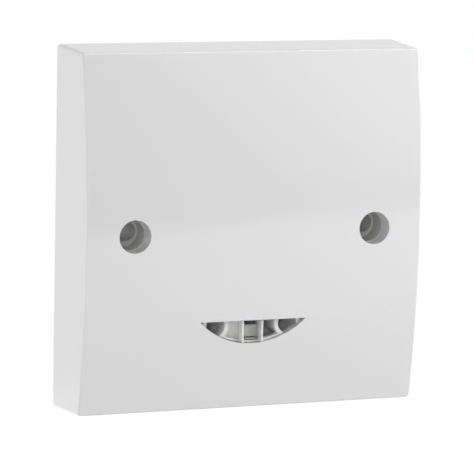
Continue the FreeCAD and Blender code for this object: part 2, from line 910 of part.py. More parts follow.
def relay_base_part():
    """Foot of the relay with its pins."""
    width = relay_width - 2 * relay_wall - 2 * case_gap
    length = relay_length - 2 * relay_wall - 2 * case_gap
    foot = block(about(relay_x, width), (power_rear, power_rear + relay_base), about(relay_z, length))
    return join([foot] + tails(relay_leads()))


def coil_z():
    return relay_z + relay_length / 2 - coil_from_end


def coil_floor():
    """Depth at which the bobbin starts, on the yoke's foot."""
    return power_rear + relay_base + yoke_thickness


def pole_y():
    """Depth of the coil's pole face."""
    return coil_floor() + bobbin_length + pole_reach


def relay_bobbin():
    """Flanged bobbin round the core."""
    start = coil_floor()
    barrel_outer = coil_core + 2 * lead_gap + 2 * bobbin_wall
    pieces = [rod(relay_x, coil_z(), (start, start + bobbin_length), barrel_outer)]
    for low in (start, start + bobbin_length - flange_thickness):
        pieces.append(block(about(relay_x, flange_size), (low, low + flange_thickness),
                            about(coil_z(), flange_size)))
    bore = rod(relay_x, coil_z(), (start - 1, start + bobbin_length + 1), coil_core + 2 * lead_gap)
    return join(pieces).cut(bore)


def relay_winding():
    """Copper wound on the bobbin, as one sleeve."""
    start = coil_floor() + flange_thickness
    y = (start, start + bobbin_length - 2 * flange_thickness)
    bore = coil_core + 2 * lead_gap + 2 * bobbin_wall
    return rod(relay_x, coil_z(), y, winding_outer).cut(rod(relay_x, coil_z(), (y[0] - 1, y[1] + 1), bore))


def yoke_face():
    """Height, along Z, of the yoke's upright leg nearest the coil."""
    return coil_z() + flange_size / 2 + yoke_gap


def relay_yoke():
    """Core and L-shaped yoke that close the magnetic path."""
    low = power_rear + relay_base
    foot = block(about(relay_x, yoke_width), (low, low + yoke_thickness),
                 (coil_z() - coil_core, yoke_face() + yoke_thickness))
    leg = block(about(relay_x, yoke_width), (low, pole_y() + armature_gap - knife_gap),
                (yoke_face(), yoke_face() + yoke_thickness))
    core = rod(relay_x, coil_z(), (low, pole_y()), coil_core)
    return join([foot, leg, core])


def armature_y():
    """Front and back of the armature plate at rest."""
    start = pole_y() + armature_gap
    return (start, start + armature_thickness)


def relay_armature():
    """Plate that tilts onto the pole, hung at the yoke's upright leg."""
    return block(about(relay_x, yoke_width), armature_y(),
                 (coil_z() - coil_core * 0.8, yoke_face() + yoke_thickness))


def contact_z():
    return relay_z - relay_length / 2 + contact_from_end


def relay_contact_spring():
    """Springy blade on the armature with the moving contact at its end."""
    y = (armature_y()[1], armature_y()[1] + spring_thickness)
    blade = block(about(relay_x, spring_width), y, (contact_z() - contact_size * 0.7, yoke_face() - 1))
    button = rod(relay_x, contact_z(), (y[0] - contact_height, y[1]), contact_size)
    return join([blade, button])


def relay_fixed_contact():
    """Post from the base with the fixed contact on top."""
    face = armature_y()[1] - contact_height - contact_gap
    low = power_rear + relay_base
    seat = face - contact_height
    shelf = block(about(relay_x, spring_width), (seat - contact_shelf, seat),
                  about(contact_z(), contact_size + contact_shelf))
    post = block(about(relay_x, spring_width), (low, seat),
                 about(contact_z() - contact_size / 2, contact_shelf))
    button = rod(relay_x, contact_z(), (seat, face), contact_size)
    return join([shelf, post, button])


def middle_leg():
    """Width of the ferrite's middle leg."""
    return transformer_width - 2 * (core_side + core_window)


def winding_y():
    """Depths of the ferrite's windows, and so of the winding."""
    start = power_rear + transformer_foot
    return (start + core_yoke, start + transformer_height - core_yoke)


def transformer_core():
    """Ferrite frame of two halves round the winding."""
    start = power_rear + transformer_foot
    frame = block(about(transformer_x, transformer_width), (start, start + transformer_height),
                  about(transformer_z, core_thickness))
    through = about(transformer_z, core_thickness + 2)
    centres = about(transformer_x, middle_leg() + core_window)
    return cut_all(frame, [block(about(x, core_window), winding_y(), through) for x in centres])


def transformer_winding():
    """Bobbin, tape-wrapped winding and pins, round the ferrite's middle leg."""
    start, end = winding_y()[0] + lead_gap, winding_y()[1] - lead_gap
    inner = middle_leg() + 2 * lead_gap
    sleeve = block(about(transformer_x, inner + 2 * winding_margin), (start, end),
                   about(transformer_z, winding_width))
    sleeve = rounded(sleeve, winding_corner, V(0, 1, 0))
    hole = block(about(transformer_x, inner), (start - 1, end + 1),
                 about(transformer_z, core_thickness + 2 * lead_gap))
    feet = []
    for side in (-1, 1):
        centre = transformer_z + side * ((core_thickness + foot_length) / 2 + 2 * lead_gap)
        feet.append(block(about(transformer_x, foot_width), (power_rear, start + lead_root),
                          about(centre, foot_length)))
    return join([sleeve.cut(hole)] + feet + tails(transformer_leads()))


def can_capacitor(x, z, diameter, height, pitch):
    """Round electrolytic capacitor standing on the power board."""
    can = rod(x, z, (power_rear, power_rear + height), diameter)
    can = can.makeFillet(can_round, edges_at(can, power_rear + height))
    low = power_rear + can_groove_low
    groove = rod(x, z, (low, low + can_groove_width), diameter + 1).cut(
        rod(x, z, (low - 1, low + can_groove_width + 1), diameter - 2 * can_groove))
    return join([can.cut(groove)] + tails(two_leads(x, z, pitch)))


def suppression_capacitor():
    """Box film capacitor across the mains."""
    body = block(about(suppressor_x, suppressor_width), (power_rear, power_rear + suppressor_height),
                 about(suppressor_z, suppressor_length))
    body = body.makeFillet(suppressor_round, [e for e in body.Edges if e.CenterOfMass.y > power_rear + 1])
    return join([body] + tails(suppressor_leads()))


def varistor():
    """Coated disc that takes mains surges."""
    y = power_rear + varistor_diameter / 2 + varistor_lift
    disc = Part.makeCylinder(varistor_diameter / 2, varistor_thickness,
                             V(varistor_x - varistor_thickness / 2, y, varistor_z), V(1, 0, 0))
    disc = disc.makeFillet(varistor_thickness * 0.4, disc.Edges[:1] + disc.Edges[2:])
    return join([disc] + leads(varistor_leads(), (power_board_front - lead_tail, y)))


def fuse():
    """Round plug-type fuse."""
    body = rod(fuse_x, fuse_z, (power_rear, power_rear + fuse_height), fuse_diameter)
    body = body.makeFillet(fuse_round, edges_at(body, power_rear + fuse_height))
    return join([body] + tails(two_leads(fuse_x, fuse_z, lead_pitch)))


def choke():
    """Drum-core inductor in its sleeve."""
    low, high = power_rear, power_rear + choke_height
    flanges = [rod(choke_x, choke_z, (low, low + choke_flange), choke_diameter),
               rod(choke_x, choke_z, (high - choke_flange, high), choke_diameter)]
    waist = rod(choke_x, choke_z, (low, high), choke_waist)
    return join(flanges + [waist] + tails(two_leads(choke_x, choke_z, lead_pitch)))


def chip_on_front(x, z, width, length, height, ways, pitch):
    """Two-row chip on the front of the power board."""
    face = power_board_front
    body = block(about(x, width), (face - height, face - leg_gap), about(z, length))
    feet = []
    for i in range(ways):
        foot_z = about(z + pitch * (i - (ways - 1) / 2), gull_width)
        for foot_x in about(x, width + 2 * gull_reach):
            feet.append(block(about(foot_x, gull_foot), (face - gull_thickness, face), foot_z))
    return join([body] + feet)


def bridge_rectifier():
    """Rectifier chip in front of the smoothing capacitor, clear of its leads."""
    z = bulk_z - lead - rectifier_length / 2
    return chip_on_front(bulk_x, z, rectifier_width, rectifier_length, rectifier_height,
                         rectifier_ways, rectifier_pitch)


def power_controller():
    """Controller chip in front of the transformer, between its rows of pins."""
    return chip_on_front(transformer_x, transformer_z, driver_width, driver_length, driver_height,
                         driver_ways, driver_pitch)


def terminal_places():
    """Centre of each wire terminal, from left to right."""
    start = -terminal_pitch * (terminal_ways - 1) / 2
    return [start + terminal_pitch * i for i in range(terminal_ways)]


def chamber_z():
    """Heights of the chamber that a clamp slides in."""
    return about(terminal_axis, cage_length + 2 * slide_gap)


def bar_z():
    """Heights of a fixed bar, seated beyond the chamber's walls."""
    return (chamber_z()[0] - bar_seat, chamber_z()[1] + bar_seat)


def terminal_tail_z():
    """Where each bar's tail passes into the power board."""
    return (bar_z()[1] - bar_thickness, bar_z()[1])


def wire_y():
    """Depth of a wire's axis, midway between the open clamp's floor and the bar."""
    return (cage_front + cage_wall + bar_front) / 2


def clear(limits, gap):
    """Limits moved apart by a gap at each end."""
    return (limits[0] - gap, limits[1] + gap)


def terminal_cell(x):
    """All that is cut from the terminal block for one wire."""
    low = box_bottom + terminal_recess
    bar_depths = clear((bar_front, bar_rear), lead_gap)
    tail_z = clear(terminal_tail_z(), lead_gap)
    return [
        block(about(x, cage_width + 2 * slide_gap), (cage_front - slide_gap, chamber_rear), chamber_z()),
        rod(x, terminal_axis, (chamber_rear - 1, head_front), screw_thread + 2 * run_gap),
        rod(x, terminal_axis, clear((head_front, head_rear), run_gap), screw_head + 2 * run_gap),
        rod(x, terminal_axis, (head_rear, terminal_rear + 1), access_bore),
        upright(x, wire_y(), (low - 1, terminal_axis), wire_bore),
        Part.makeCone(wire_bore / 2 + wire_funnel, wire_bore / 2, wire_funnel_depth, V(x, wire_y(), low)),
        block(about(x, bar_width + 2 * lead_gap), bar_depths, clear(bar_z(), lead_gap)),
        block(about(x, tail_width + 2 * lead_gap), (power_rear - 1, bar_depths[1]), tail_z),
    ]


def terminal_block():
    """Moulded block with a chamber, a screw well and a wire entry for each way."""
    body = block(about(0, terminal_width), (power_rear, terminal_rear),
                 (box_bottom + terminal_recess, terminal_top))
    return cut_all(body, [tool for x in terminal_places() for tool in terminal_cell(x)])


def terminal_bars():
    """Fixed contact bar of each way, with its tail through the power board."""
    bars = []
    for x in terminal_places():
        bar = block(about(x, bar_width), (bar_front, bar_rear), bar_z())
        tail = block(about(x, tail_width), (power_board_front - lead_tail, bar_rear), terminal_tail_z())
        bars.append(join([bar, tail]))
    return group(bars)


def terminal_screw(x):
    """Captive slotted screw whose tip bears on the bar."""
    shank = rod(x, terminal_axis, (bar_rear + thread_gap, head_front), screw_thread)
    head = rod(x, terminal_axis, (head_front, head_rear), screw_head)
    slot = block(about(x, driver_slot), (head_rear - driver_slot_depth, head_rear + 1),
                 about(terminal_axis, screw_head + 1))
    return join([shank, head]).cut(slot)


def terminal_clamp(x):
    """Square cage that the screw draws up under the wire."""
    outer = block(about(x, cage_width), (cage_front, cage_rear), about(terminal_axis, cage_length))
    inner = block(about(x, cage_width - 2 * cage_wall), (cage_front + cage_wall, cage_rear - cage_top),
                  about(terminal_axis, cage_length + 2))
    thread = rod(x, terminal_axis, (cage_rear - cage_top - 1, cage_rear + 1), screw_thread + 2 * thread_gap)
    return cut_all(outer, [inner, thread])


def cover_screws():
    seat = cup_floor - cover_screw_cup
    return group([pan_screw(x, z, seat, cover_screw_length, cover_screw_thread, cover_screw_head, 1)
                  for x, z in cover_screw_places()])


def board_screws(places, seat):
    """Screws with their heads on a board's front."""
    return group([pan_screw(x, z, seat, board_screw_length, board_screw_thread, board_screw_head, -1)
                  for x, z in places])


nodes = {
    "front_cover": front_cover(),
    "rear_housing": rear_housing(),
    "sensor_baffle": sensor_baffle(),
    "ir_lens": ir_lens(),
    "ir_receiver": ir_receiver(),
    "light_sensor": light_sensor(),
    "status_led": status_led(),
    "control_board": control_board(),
    "microcontroller": microcontroller(),
    "chip_components": chip_components(),
    "crystal": crystal(),
    "antenna_board": antenna_board(),
    "antenna_patches": antenna_patches(),
    "radar_shield": radar_shield(),
    "radar_header": radar_header(),
    "antenna_spacers": antenna_spacers(),
    "board_socket": board_socket(),
    "board_header": board_header(),
    "power_board": power_board(),
    "relay_base": relay_base_part(),
    "relay_case": relay_case_part(),
    "relay_bobbin": relay_bobbin(),
    "relay_winding": relay_winding(),
    "relay_yoke": relay_yoke(),
    "relay_armature": relay_armature(),
    "relay_contact_spring": relay_contact_spring(),
    "relay_fixed_contact": relay_fixed_contact(),
    "transformer_core": transformer_core(),
    "transformer_winding": transformer_winding(),
    "bulk_capacitor": can_capacitor(bulk_x, bulk_z, bulk_diameter, bulk_height, lead_pitch),
    "output_capacitor": can_capacitor(output_x, output_z, output_diameter, output_height, short_lead_pitch),
    "suppression_capacitor": suppression_capacitor(),
    "varistor": varistor(),
    "fuse": fuse(),
    "choke": choke(),
    "bridge_rectifier": bridge_rectifier(),
    "power_controller": power_controller(),
    "terminal_block": terminal_block(),
    "terminal_bars": terminal_bars(),
    "cover_screws": cover_screws(),
    "control_board_screws": board_screws(control_screw_places(), control_front),
    "power_board_screws": board_screws(power_screw_places(), power_board_front),
}
for number, place in enumerate(terminal_places(), start=1):
    nodes[f"terminal_screw_{number}"] = terminal_screw(place)
    nodes[f"terminal_clamp_{number}"] = terminal_clamp(place)

os.makedirs("parts", exist_ok=True)
for name, shape in nodes.items():
    shape.exportStep(f"parts/{name}.step")
    print(f"{name:24s} {len(shape.Solids)} solids {shape.Volume:10.2f} mm3 valid {shape.isValid()}")
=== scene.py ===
# %% [markdown]
# # A microwave presence detector for a single-gang wall box
#
# The real object is a square glossy white plate, 86 mm across and gently crowned, with two deep holes for
# the wall screws and a smile-shaped slot that three small optical parts look out of. Behind the plate sit a
# control board, a microwave board and, in a grey box that enters the wall, a mains board with its terminals.
# The solids come ready made from the frame, in metres, with X to the right, Y into the wall and Z up. This
# lesson dresses them: a camera, a plain studio, finishes made of shader nodes, and the few pieces whose
# looks ask for more than their solids give.

# %% Load the fixed frame
import math

import bmesh
import bpy
from mathutils import Matrix, Vector
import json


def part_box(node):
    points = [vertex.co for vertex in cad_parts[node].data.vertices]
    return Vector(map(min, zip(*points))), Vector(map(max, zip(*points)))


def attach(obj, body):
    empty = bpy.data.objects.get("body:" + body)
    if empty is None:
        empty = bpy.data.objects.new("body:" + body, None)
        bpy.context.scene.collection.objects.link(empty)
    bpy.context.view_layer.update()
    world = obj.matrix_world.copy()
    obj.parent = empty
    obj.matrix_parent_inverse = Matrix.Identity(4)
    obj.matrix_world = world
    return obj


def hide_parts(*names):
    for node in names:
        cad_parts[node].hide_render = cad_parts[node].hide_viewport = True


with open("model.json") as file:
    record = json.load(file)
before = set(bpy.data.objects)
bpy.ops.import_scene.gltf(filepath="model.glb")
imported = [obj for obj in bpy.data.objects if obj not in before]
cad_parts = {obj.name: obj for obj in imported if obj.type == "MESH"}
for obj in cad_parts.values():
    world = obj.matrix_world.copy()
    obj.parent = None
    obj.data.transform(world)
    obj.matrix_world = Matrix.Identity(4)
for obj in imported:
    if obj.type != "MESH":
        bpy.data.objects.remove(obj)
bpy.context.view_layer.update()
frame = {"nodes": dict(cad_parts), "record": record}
mm = 0.001

# %% [markdown]
# The photograph was taken from the left and a little above, with a long lens. Where the plate's corners,
# its holes and its slot fall in the picture fixes the camera: its direction, its distance, its focal length
# and a small aim beside the plate's centre. The lens is given by its focal length in picture widths, so the
# sensor can keep Blender's usual 36 mm.

# %% Camera
view_azimuth, view_elevation, view_roll = -21.580, 8.300, 1.179
view_distance = 0.75493
picture_width = 474
focal_pixels = 3148.16
aim_right, aim_down = 11.349, 16.560


def turned(right, up, angle):
    """The camera's right and up directions after a roll."""
    return math.cos(angle) * right + math.sin(angle) * up, math.cos(angle) * up - math.sin(angle) * right


def place_camera():
    """Camera that looks nearly at the plate's centre, as the photograph does."""
    side, height, roll = (math.radians(v) for v in (view_azimuth, view_elevation, view_roll))
    back = Vector((math.sin(side) * math.cos(height), -math.cos(side) * math.cos(height), math.sin(height)))
    right = Vector((math.cos(side), math.sin(side), 0))
    right, up = turned(right, back.cross(right), roll)
    back_axis = (back * focal_pixels - right * aim_right + up * aim_down).normalized()
    right_axis = (right - right.dot(back_axis) * back_axis).normalized()
    camera = bpy.data.cameras.new("camera")
    camera.sensor_width = 36
    camera.lens = focal_pixels / picture_width * camera.sensor_width
    placed = bpy.data.objects.new("camera", camera)
    axes = Matrix((right_axis, back_axis.cross(right_axis), back_axis)).transposed().to_4x4()
    placed.matrix_world = Matrix.Translation(back * view_distance) @ axes
    bpy.context.scene.collection.objects.link(placed)
    bpy.context.scene.camera = placed
    return placed


camera = place_camera()
print("camera at", [round(v, 3) for v in camera.matrix_world.translation])
print("focal length", round(camera.data.lens, 1), "mm")

# %% [markdown]
# A finish is a small tree of shader nodes. Four helpers keep the trees short to write: one adds a node, one
# joins two sockets, one starts a node group with named inputs and outputs, and one places a group in a
# material with its own values.

# %% Helpers for node trees


def node(tree, kind, **settings):
    """A new node of a tree, with its settings and the values of its named inputs."""
    made = tree.nodes.new(kind)
    for key, value in settings.items():
        if hasattr(made, key):
            setattr(made, key, value)
        else:
            made.inputs[key.replace("_", " ")].default_value = value
    return made


def link(tree, start, end):
    tree.links.new(start, end)


def maths(tree, operation, first, second):
    """A Math node whose inputs are numbers or sockets."""
    made = tree.nodes.new("ShaderNodeMath")
    made.operation = operation
    for socket, value in zip(made.inputs, (first, second)):
        if isinstance(value, (int, float)):
            socket.default_value = value
        else:
            link(tree, value, socket)
    return made.outputs[0]


def start_group(name, inputs, outputs):
    """A shader node group; inputs are (name, kind, value) and outputs are (name, kind)."""
    group = bpy.data.node_groups.new(name, "ShaderNodeTree")
    for label, kind, value in inputs:
        socket = group.interface.new_socket(label, in_out="INPUT", socket_type="NodeSocket" + kind)
        socket.default_value = value
    for label, kind in outputs:
        group.interface.new_socket(label, in_out="OUTPUT", socket_type="NodeSocket" + kind)
    return group, group.nodes.new("NodeGroupInput").outputs, group.nodes.new("NodeGroupOutput").inputs


def place_group(tree, group, **values):
    """The group as one node of a material, with its own values."""
    made = tree.nodes.new("ShaderNodeGroup")
    made.node_tree = group
    for key, value in values.items():
        made.inputs[key.replace("_", " ")].default_value = value
    return made


def spread(tree, value, low, high, start=0.0, end=1.0):
    """A value carried from one span to another."""
    made = node(tree, "ShaderNodeMapRange", From_Min=start, From_Max=end)
    for label, limit in (("To Min", low), ("To Max", high)):
        if isinstance(limit, (int, float)):
            made.inputs[label].default_value = limit
        else:
            link(tree, limit, made.inputs[label])
    link(tree, value, made.inputs["Value"])
    return made.outputs["Result"]


print("helpers ready")

# %% [markdown]
# Injection-moulded plastic is never one flat colour. Its tone drifts a little where the melt flowed, its
# polish varies where hands have been, fine dust sits on it, and the polished steel of the mould leaves a
# faint orange peel. One group makes all of it from three-dimensional noise in metres, so it lies on every
# face of every piece without a seam, and each plastic sets how much of each it shows.

# %% Group for moulded plastic


def make_moulding():
    """Tone, polish, dust and peel of moulded plastic."""
    group, given, result = start_group(
        "moulded plastic",
        [("Colour", "Color", (0.8, 0.8, 0.8, 1)), ("Tone drift", "Float", 0.02), ("Polish low", "Float", 0.2),
         ("Polish high", "Float", 0.3), ("Dust", "Float", 0.2), ("Peel size", "Float", 900.0),
         ("Grain", "Float", 0.3), ("Grain size", "Float", 6000.0)],
        [("Colour", "Color"), ("Roughness", "Float"), ("Height", "Float")])
    place = group.nodes.new("ShaderNodeTexCoord").outputs["Object"]
    flow = node(group, "ShaderNodeTexNoise", Scale=28.0, Detail=3.0, Distortion=0.8)
    hands = node(group, "ShaderNodeTexNoise", Scale=90.0, Detail=4.0, Roughness=0.6)
    peel = node(group, "ShaderNodeTexNoise", Detail=1.0)
    grain = node(group, "ShaderNodeTexNoise", Detail=2.0)
    specks = node(group, "ShaderNodeTexVoronoi", Scale=420.0)
    rare = node(group, "ShaderNodeTexNoise", Scale=160.0, Detail=1.0)
    for texture in (flow, hands, peel, grain, specks, rare):
        link(group, place, texture.inputs["Vector"])
    link(group, given["Peel size"], peel.inputs["Scale"])
    link(group, given["Grain size"], grain.inputs["Scale"])
    drift = maths(group, "MULTIPLY", maths(group, "SUBTRACT", flow.outputs["Fac"], 0.5), given["Tone drift"])
    near = spread(group, specks.outputs["Distance"], 1.0, 0.0, 0.03, 0.09)
    where = spread(group, rare.outputs["Fac"], 0.0, 1.0, 0.66, 0.72)
    dust = maths(group, "MULTIPLY", maths(group, "MULTIPLY", near, where), given["Dust"])
    level = maths(group, "SUBTRACT", maths(group, "ADD", drift, 1.0), maths(group, "MULTIPLY", dust, 0.35))
    shade = node(group, "ShaderNodeVectorMath", operation="SCALE")
    link(group, given["Colour"], shade.inputs[0])
    link(group, level, shade.inputs["Scale"])
    link(group, shade.outputs[0], result["Colour"])
    polish = spread(group, hands.outputs["Fac"], given["Polish low"], given["Polish high"], 0.35, 0.65)
    link(group, maths(group, "ADD", polish, maths(group, "MULTIPLY", dust, 0.4)), result["Roughness"])
    fine = maths(group, "MULTIPLY", grain.outputs["Fac"], given["Grain"])
    link(group, maths(group, "ADD", maths(group, "ADD", peel.outputs["Fac"], fine),
                      maths(group, "MULTIPLY", dust, 0.5)), result["Height"])
    return group


moulding_group = make_moulding()
print("group:", moulding_group.name, len(moulding_group.nodes), "nodes")

# %% [markdown]
# Metal small parts are stamped, turned or drawn, and each way leaves fine lines in one direction. A noise
# stretched along one axis makes those lines; a second, broader noise adds the dull patches that plating
# gets from handling.

# %% Group for worked metal


def make_metalwork():
    """Fine lines along one axis, with dull patches."""
    group, given, result = start_group(
        "worked metal",
        [("Colour", "Color", (0.7, 0.7, 0.7, 1)), ("Patches", "Float", 0.15), ("Polish low", "Float", 0.25),
         ("Polish high", "Float", 0.45), ("Stretch", "Vector", (1500.0, 9000.0, 1500.0))],
        [("Colour", "Color"), ("Roughness", "Float"), ("Height", "Float")])
    place = group.nodes.new("ShaderNodeTexCoord").outputs["Object"]
    along = node(group, "ShaderNodeMapping")
    link(group, place, along.inputs["Vector"])
    link(group, given["Stretch"], along.inputs["Scale"])
    lines = node(group, "ShaderNodeTexNoise", Scale=1.0, Detail=3.0)
    link(group, along.outputs["Vector"], lines.inputs["Vector"])
    patches = node(group, "ShaderNodeTexNoise", Scale=700.0, Detail=4.0)
    link(group, place, patches.inputs["Vector"])
    where = spread(group, patches.outputs["Fac"], 0.0, 1.0, 0.4, 0.7)
    dull = maths(group, "MULTIPLY", where, given["Patches"])
    shade = node(group, "ShaderNodeVectorMath", operation="SCALE")
    link(group, given["Colour"], shade.inputs[0])
    link(group, maths(group, "SUBTRACT", 1.0, dull), shade.inputs["Scale"])
    link(group, shade.outputs[0], result["Colour"])
    polish = spread(group, lines.outputs["Fac"], given["Polish low"], given["Polish high"], 0.3, 0.7)
    link(group, maths(group, "ADD", polish, maths(group, "MULTIPLY", dull, 0.6)), result["Roughness"])
    link(group, lines.outputs["Fac"], result["Height"])
    return group


metalwork_group = make_metalwork()
print("group:", metalwork_group.name, len(metalwork_group.nodes), "nodes")

# %% [markdown]
# A circuit board is woven glass in resin, with copper tracks under a thin lacquer. The weave is two waves
# that cross, and the tracks show as slightly paler lanes along a square lattice. The lattice comes from a
# Voronoi texture measured along the axes only, because its cell borders then run straight and turn at right
# angles or on the diagonal, as laid-out tracks do.

# %% Group for circuit boards
# The Mix node keeps a set of sockets for each kind of value; these are the places of the colour ones.
colour_a, colour_b, mixed_colour = 6, 7, 2


def make_laminate():
    """Woven glass with lacquered tracks, on the board's own X and Z."""
    group, given, result = start_group(
        "laminate",
        [("Lacquer", "Color", (0.04, 0.22, 0.10, 1)), ("Track", "Color", (0.09, 0.33, 0.15, 1)),
         ("Track size", "Float", 260.0), ("Weave", "Float", 0.1)],
        [("Colour", "Color"), ("Roughness", "Float"), ("Height", "Float")])
    place = group.nodes.new("ShaderNodeTexCoord").outputs["Object"]
    flat = node(group, "ShaderNodeMapping", Scale=(1.0, 0.0, 1.0))
    link(group, place, flat.inputs["Vector"])
    tracks = node(group, "ShaderNodeTexVoronoi", feature="DISTANCE_TO_EDGE")
    link(group, flat.outputs["Vector"], tracks.inputs["Vector"])
    link(group, given["Track size"], tracks.inputs["Scale"])
    lane = spread(group, tracks.outputs["Distance"], 1.0, 0.0, 0.05, 0.07)
    waves = []
    for direction in ("X", "Z"):
        wave = node(group, "ShaderNodeTexWave", bands_direction=direction, Scale=420.0)
        link(group, flat.outputs["Vector"], wave.inputs["Vector"])
        waves.append(wave.outputs["Fac"])
    weave = maths(group, "MULTIPLY", maths(group, "MULTIPLY", waves[0], waves[1]), given["Weave"])
    mixed = node(group, "ShaderNodeMix", data_type="RGBA")
    link(group, lane, mixed.inputs["Factor"])
    link(group, given["Lacquer"], mixed.inputs[colour_a])
    link(group, given["Track"], mixed.inputs[colour_b])
    shade = node(group, "ShaderNodeVectorMath", operation="SCALE")
    link(group, mixed.outputs[mixed_colour], shade.inputs[0])
    link(group, maths(group, "SUBTRACT", 1.05, weave), shade.inputs["Scale"])
    link(group, shade.outputs[0], result["Colour"])
    link(group, spread(group, weave, 0.32, 0.5, 0.0, 0.1), result["Roughness"])
    link(group, maths(group, "ADD", lane, maths(group, "MULTIPLY", weave, 2.0)), result["Height"])
    return group


laminate_group = make_laminate()
print("group:", laminate_group.name, len(laminate_group.nodes), "nodes")

# %% [markdown]
# Each finish is a Principled shader fed by one of the groups. What varies over the surface, which is the
# colour, the roughness and the bump, comes from the group. What is the same everywhere, such as metal or
# plastic, is set on the shader itself.

# %% Makers of finishes


def new_finish(name, group, depth, **values):
    """A material with one group in it, bump included; returns it with its shader."""
    material = bpy.data.materials.new(name)
    material.use_nodes = True
    tree = material.node_tree
    shader = tree.nodes["Principled BSDF"]
    effect = place_group(tree, group, **values)
    bump = node(tree, "ShaderNodeBump", Strength=1.0, Distance=depth)
    link(tree, effect.outputs["Height"], bump.inputs["Height"])
    link(tree, effect.outputs["Colour"], shader.inputs["Base Color"])
    link(tree, effect.outputs["Roughness"], shader.inputs["Roughness"])
    link(tree, bump.outputs["Normal"], shader.inputs["Normal"])
    material.diffuse_color = (*effect.inputs[0].default_value[:3], 1)
    return material, shader


def plastic(name, colour, polish, drift=0.03, dust=0.1, depth=2e-6, grain=0.3, **sockets):
    """Moulded plastic; polish is the lowest and highest roughness."""
    material, shader = new_finish(name, moulding_group, depth, Colour=(*colour, 1), Tone_drift=drift,
                                  Polish_low=polish[0], Polish_high=polish[1], Dust=dust, Grain=grain)
    for key, value in sockets.items():
        shader.inputs[key.replace("_", " ")].default_value = value
    return material


def metal(name, colour, polish, patches=0.15, stretch=(1500.0, 9000.0, 1500.0), depth=1.5e-6):
    """Bare or plated metal with fine lines."""
    material, shader = new_finish(name, metalwork_group, depth, Colour=(*colour, 1), Patches=patches,
                                  Polish_low=polish[0], Polish_high=polish[1], Stretch=stretch)
    shader.inputs["Metallic"].default_value = 1.0
    return material


def board(name, lacquer, track, track_size):
    """Circuit board."""
    return new_finish(name, laminate_group, 2e-5, Lacquer=(*lacquer, 1), Track=(*track, 1),
                      Track_size=track_size)[0]


finishes = {}
print("makers ready")

# %% [markdown]
# The cover is white ABS from a polished mould. It mirrors the studio faintly, so its roughness is low and
# its peel only a few micrometres deep. The white is a touch under the paper white of the background. The
# baffle behind the slot is thin and lets some light through, which subsurface scattering gives, equally for
# all three colours so that no tint appears. The lens between its ribs is frosted resin, and its grey is
# partly painted shade: it is darkened further to stand for the shade that falls inside the slot.

# %% White plastics of the face
finishes["cover_white"] = plastic("cover_white", (0.80, 0.80, 0.81), (0.07, 0.11), drift=0.012, dust=0.5,
                                  depth=2e-6, grain=0.05, IOR=1.55)
finishes["baffle_white"] = plastic("baffle_white", (0.80, 0.80, 0.795), (0.22, 0.32), drift=0.03,
                                   Subsurface_Weight=0.7, Subsurface_Scale=0.0015,
                                   Subsurface_Radius=(1.0, 1.0, 1.0))
# The lens colour is partly painted shade, darker than its frosted resin to match the shaded slot.
finishes["lens_frosted"] = plastic("lens_frosted", (0.45, 0.46, 0.44), (0.25, 0.35), drift=0.05, depth=6e-6)
print("face finishes:", sorted(finishes))

# %% [markdown]
# The rear housing is grey, moulded in a spark-eroded tool that leaves a matte grain, so its plastic has the
# same group with a stronger grain and a higher roughness. The other plastics differ in colour and polish.

# %% Other plastics
finishes["housing_grey"] = plastic("housing_grey", (0.59, 0.59, 0.565), (0.45, 0.6), depth=1.2e-5, grain=1.0)
finishes["terminal_plastic"] = plastic("terminal_plastic", (0.78, 0.78, 0.75), (0.35, 0.5), depth=8e-6)
finishes["header_black"] = plastic("header_black", (0.03, 0.03, 0.03), (0.4, 0.55), depth=6e-6)
finishes["chip_black"] = plastic("chip_black", (0.03, 0.03, 0.032), (0.5, 0.65), depth=8e-6, grain=1.0)
finishes["spacer_white"] = plastic("spacer_white", (0.78, 0.78, 0.74), (0.4, 0.5))
finishes["relay_black"] = plastic("relay_black", (0.03, 0.03, 0.035), (0.25, 0.4))
finishes["bobbin_cream"] = plastic("bobbin_cream", (0.78, 0.74, 0.62), (0.35, 0.5))
finishes["can_sleeve"] = plastic("can_sleeve", (0.05, 0.06, 0.10), (0.2, 0.3))
finishes["film_case"] = plastic("film_case", (0.55, 0.55, 0.52), (0.3, 0.45))
finishes["varistor_blue"] = plastic("varistor_blue", (0.05, 0.15, 0.45), (0.2, 0.35), drift=0.15, depth=3e-5)
finishes["fuse_black"] = plastic("fuse_black", (0.04, 0.04, 0.04), (0.35, 0.5))
finishes["tape_yellow"] = plastic("tape_yellow", (0.80, 0.62, 0.10), (0.2, 0.35), drift=0.1)
finishes["chip_brown"] = plastic("chip_brown", (0.33, 0.23, 0.16), (0.3, 0.5), drift=0.3)
finishes["ferrite"] = plastic("ferrite", (0.07, 0.07, 0.072), (0.4, 0.6), drift=0.2, depth=2e-5, grain=1.0)
print("plastics so far:", len(finishes))

# %% [markdown]
# The three optical parts are resins. The receiver's is nearly black to the eye because it passes only
# infrared, the light sensor's is clear, and the status lamp's is a milky cup.

# %% Resins
finishes["receiver_smoke"] = plastic("receiver_smoke", (0.03, 0.025, 0.035), (0.08, 0.14), Coat_Weight=0.5)
finishes["sensor_clear"] = plastic("sensor_clear", (0.72, 0.72, 0.66), (0.08, 0.14), Coat_Weight=0.6)
finishes["led_white"] = plastic("led_white", (0.82, 0.82, 0.74), (0.2, 0.3), Coat_Weight=0.3)
print("resins:", [n for n in finishes if n.split("_")[0] in ("receiver", "sensor", "led")])

# %% [markdown]
# Metals: tinned cans, gilt contacts and patches, plated iron in the relay, and zinc-plated or brass
# fasteners. Enamelled copper wire has its own clear coat.

